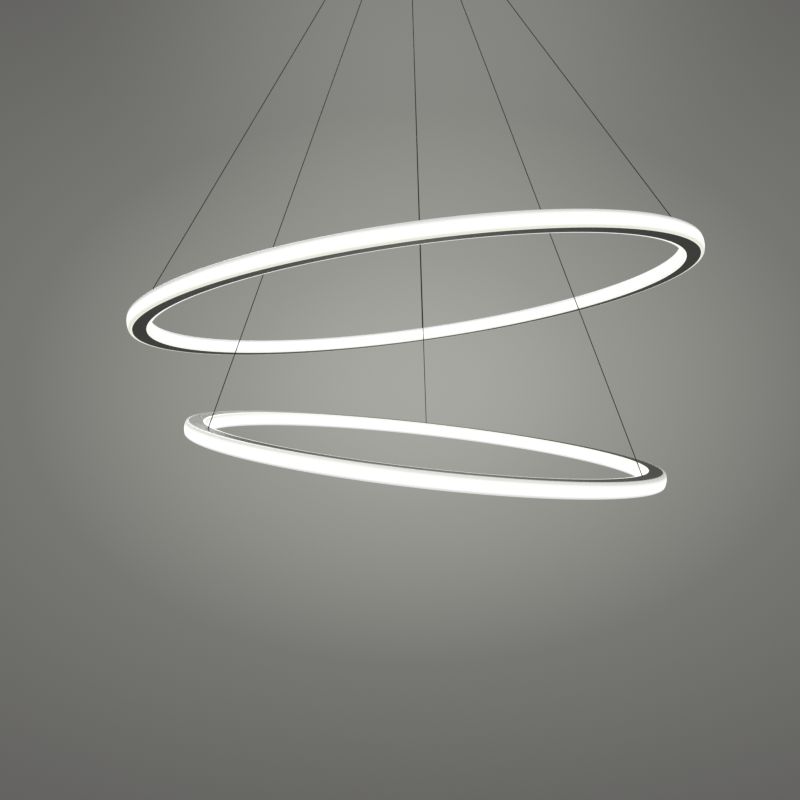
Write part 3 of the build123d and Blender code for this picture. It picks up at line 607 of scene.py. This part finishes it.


# Opal polycarbonate lit from behind: clear white along the crown and dimmer towards the flanges. The
# dimming is partly real, as less of the strips' light comes there, and partly painted shade: the tints
# are set for each shell apart, and three shells are painted dark grey along the upper flange. The lower
# ring's light is a little colder. The surface is satin, with faint die lines along the extrusion.
CROWN_FROM, CROWN_TO = 0.38, 0.61
EDGE_PLACES = (0.0, 0.13, 0.74, 0.84, 1.0)      # from the lower flange to the upper one
# For each shell: its glow by the crown, and painted shade towards the flanges.
EDGE_GLOW_AND_PAINTED_SHADE = {
    "upper_outer": ("#f4f4ea", "#dcdcd0", "#c4c6c6", "#868888", "#6a6c6c"),
    "upper_inner": ("#ffffff", "#eeeee6", "#c4c6c6", "#868888", "#6a6c6c"),
    "lower_outer": ("#c8cac6", "#ccd0d0", "#e0e2de", "#aaaca8", "#666864"),
    "lower_inner": ("#c8cac6", "#ccd0d0", "#dcdedb", "#c0c0b8", "#f6f6e8"),
}
opal = {}
for shell, glow_and_shade_tints in EDGE_GLOW_AND_PAINTED_SHADE.items():
    opal[shell], tree, out = blank_material(f"lit_opal_polycarbonate_{shell}")
    uv = add(tree, "ShaderNodeUVMap", {}, uv_map="section")
    split = add(tree, "ShaderNodeSeparateXYZ", {"Vector": uv.outputs["UV"]})
    ramp = add(tree, "ShaderNodeValToRGB", {"Fac": split.outputs["X"]})
    ramp.color_ramp.interpolation = "EASE"
    ramp.color_ramp.elements[0].color = linear(glow_and_shade_tints[0])
    ramp.color_ramp.elements[1].color = linear(glow_and_shade_tints[-1])
    for position, glow_and_shade_tint in zip(EDGE_PLACES[1:-1], glow_and_shade_tints[1:-1]):
        ramp.color_ramp.elements.new(position).color = linear(glow_and_shade_tint)
    for position in (CROWN_FROM, CROWN_TO):
        ramp.color_ramp.elements.new(position).color = linear("#ffffff")
    lines = add(tree, "ShaderNodeMath", {0: split.outputs["X"], 1: DIE_LINES}, operation="MULTIPLY")
    die = add(tree, "ShaderNodeTexNoise", {"W": lines.outputs[0], "Scale": 1.0, "Detail": 2.0},
              noise_dimensions="1D")
    bump = add(tree, "ShaderNodeBump", {"Height": die.outputs["Fac"], "Strength": 0.05,
                                        "Distance": 0.0001})
    shader = add(tree, "ShaderNodeBsdfPrincipled", {"Base Color": linear("#bdbdb8"), "IOR": 1.58,
                                                    "Roughness": 0.45,
                                                    "Emission Color": ramp.outputs["Color"],
                                                    "Emission Strength": 0.95,
                                                    "Normal": bump.outputs["Normal"]})
    tree.links.new(shader.outputs["BSDF"], out.inputs["Surface"])

for which, hang in RING_HANGS.items():
    edge_out = hang["outer_d"] / 2 - OUTER_BULGE
    for where, r_edge, side, bulge in (("outer", edge_out, 1, OUTER_BULGE),
                                       ("inner", edge_out - SECTION_WIDTH, -1, INNER_BULGE)):
        name = f"{which}_{where}_opal_shell"
        shell = piece(name, diffuser_skin(name, hang, r_edge, side, bulge, CORNER_R[where]),
                      opal[f"{which}_{where}"])
        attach(shell, f"{which}_ring")
        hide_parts(f"{which}_ring_{where}_diffuser")


# ---------------------------------------------------------------- floor, backdrop and light
# A plain round studio: a pale floor well below the rings and a grey wall all round, with a painted
# pool of light behind the rings, where their own light would fall on it.

FLOOR_Z = -3.1
ROOM_R = 2.6
WALL_TOP = 1.8
COVE_R = 0.5
COVE_STEPS = 12
ROOM_STEPS = 96
GLOW_CENTRE = (0.05, ROOM_R, -0.62)
GLOW_SHAPE = (0.83, 0.83, 1.12)       # wider than it is high
GLOW_REACH = 2.6
HIGH_GLOW_CENTRE = (0.10, ROOM_R, 1.10)
HIGH_GLOW_CORE = 0.1
HIGH_GLOW_REACH = 1.5
HIGH_GLOW_STRENGTH = 0.092
LAMP_AIM = Vector((0, 0, -0.6))


def studio_surface():
    """A floor that curves up into a round wall: a half outline of floor, quarter circle and wall,
    turned once round Z."""
    cove = np.linspace(-pi / 2, 0, COVE_STEPS + 1)
    r = np.concatenate([[0.001, 1.0], ROOM_R - COVE_R + COVE_R * np.cos(cove), [ROOM_R]])
    z = np.concatenate([[FLOOR_Z, FLOOR_Z], FLOOR_Z + COVE_R + COVE_R * np.sin(cove), [WALL_TOP]])
    turn = np.linspace(0, 2 * pi, ROOM_STEPS + 1)
    x, y = np.cos(turn)[:, None] * r, np.sin(turn)[:, None] * r
    points = np.stack([x, y, np.broadcast_to(z, x.shape)], -1)
    rows, columns = points.shape[:2]
    i, j = np.meshgrid(np.arange(rows - 1), np.arange(columns - 1), indexing="ij")
    quads = np.stack([i * columns + j, i * columns + j + 1,
                      (i + 1) * columns + j + 1, (i + 1) * columns + j], axis=-1).reshape(-1, 4)
    mesh = bpy.data.meshes.new("studio")
    mesh.from_pydata(points.reshape(-1, 3).tolist(), [], quads.tolist())
    mesh.shade_smooth()
    return mesh


# Matt studio paint. The wall gives off its own grey, so that no lamp leaves a patch on it, with painted
# light on it: a pool bright behind the rings, fading outwards, with a fainter painted glow above them.
# The floor is matt and pale.
paint, tree, out = blank_material("matt_studio_paint")
place = add(tree, "ShaderNodeTexCoord", {})
flat = add(tree, "ShaderNodeVectorMath", {0: place.outputs["Object"], 1: GLOW_CENTRE}, operation="SUBTRACT")
wide = add(tree, "ShaderNodeVectorMath", {0: flat.outputs["Vector"], 1: GLOW_SHAPE}, operation="MULTIPLY")
away = add(tree, "ShaderNodeVectorMath", {0: wide.outputs["Vector"]}, operation="LENGTH")
far = add(tree, "ShaderNodeMapRange", {"Value": away.outputs["Value"], "From Max": GLOW_REACH},
          interpolation_type="SMOOTHSTEP")
glow = add(tree, "ShaderNodeValToRGB", {"Fac": far.outputs["Result"]})
glow.color_ramp.elements[0].color = linear("#a7a8a2")
glow.color_ramp.elements[1].color = linear("#5d5c5b")
glow.color_ramp.elements.new(0.12).color = linear("#979892")
glow.color_ramp.elements.new(0.45).color = linear("#777773")
split = add(tree, "ShaderNodeSeparateXYZ", {"Vector": place.outputs["Object"]})
floor_share = add(tree, "ShaderNodeMapRange", {"Value": split.outputs["Z"], "From Min": FLOOR_Z,
                                               "From Max": FLOOR_Z + COVE_R, "To Min": 1.0, "To Max": 0.0},
                  interpolation_type="SMOOTHSTEP")
high = add(tree, "ShaderNodeVectorMath", {0: place.outputs["Object"], 1: HIGH_GLOW_CENTRE},
           operation="DISTANCE")
high_share = add(tree, "ShaderNodeMapRange", {"Value": high.outputs["Value"], "From Min": HIGH_GLOW_CORE,
                                              "From Max": HIGH_GLOW_REACH, "To Min": HIGH_GLOW_STRENGTH,
                                              "To Max": 0.0}, interpolation_type="SMOOTHSTEP")
high_glow = add(tree, "ShaderNodeEmission", {"Color": linear("#fffff8"),
                                             "Strength": high_share.outputs["Result"]})
low_glow = add(tree, "ShaderNodeEmission", {"Color": glow.outputs["Color"]})
wall = add(tree, "ShaderNodeAddShader", {0: low_glow.outputs["Emission"], 1: high_glow.outputs["Emission"]})
floor = add(tree, "ShaderNodeBsdfDiffuse", {"Color": linear("#d6d6d2")})
both = add(tree, "ShaderNodeMixShader", {0: floor_share.outputs["Result"], 1: wall.outputs["Shader"],
                                         2: floor.outputs["BSDF"]})
tree.links.new(both.outputs["Shader"], out.inputs["Surface"])
studio = piece("studio", studio_surface(), paint)

world = bpy.data.worlds.new("studio_light")
world.use_nodes = True
sky = world.node_tree.nodes["Background"]
sky.inputs["Color"].default_value = linear("#e8e8e8")
sky.inputs["Strength"].default_value = 1.0
bpy.context.scene.world = world

for name, place, size, power in (("key", (-1.3, -1.9, 0.9), 1.2, 30.0),
                                 ("fill", (1.9, -1.0, 0.4), 1.4, 16.0),
                                 ("back", (-0.9, 1.8, 0.7), 1.2, 20.0)):
    lamp = bpy.data.objects.new(name, bpy.data.lights.new(name, "AREA"))
    lamp.data.size = size
    lamp.data.energy = power
    lamp.location = place
    lamp.rotation_euler = (LAMP_AIM - Vector(place)).to_track_quat("-Z", "Y").to_euler()
    lamp.visible_camera = False
    bpy.context.scene.collection.objects.link(lamp)
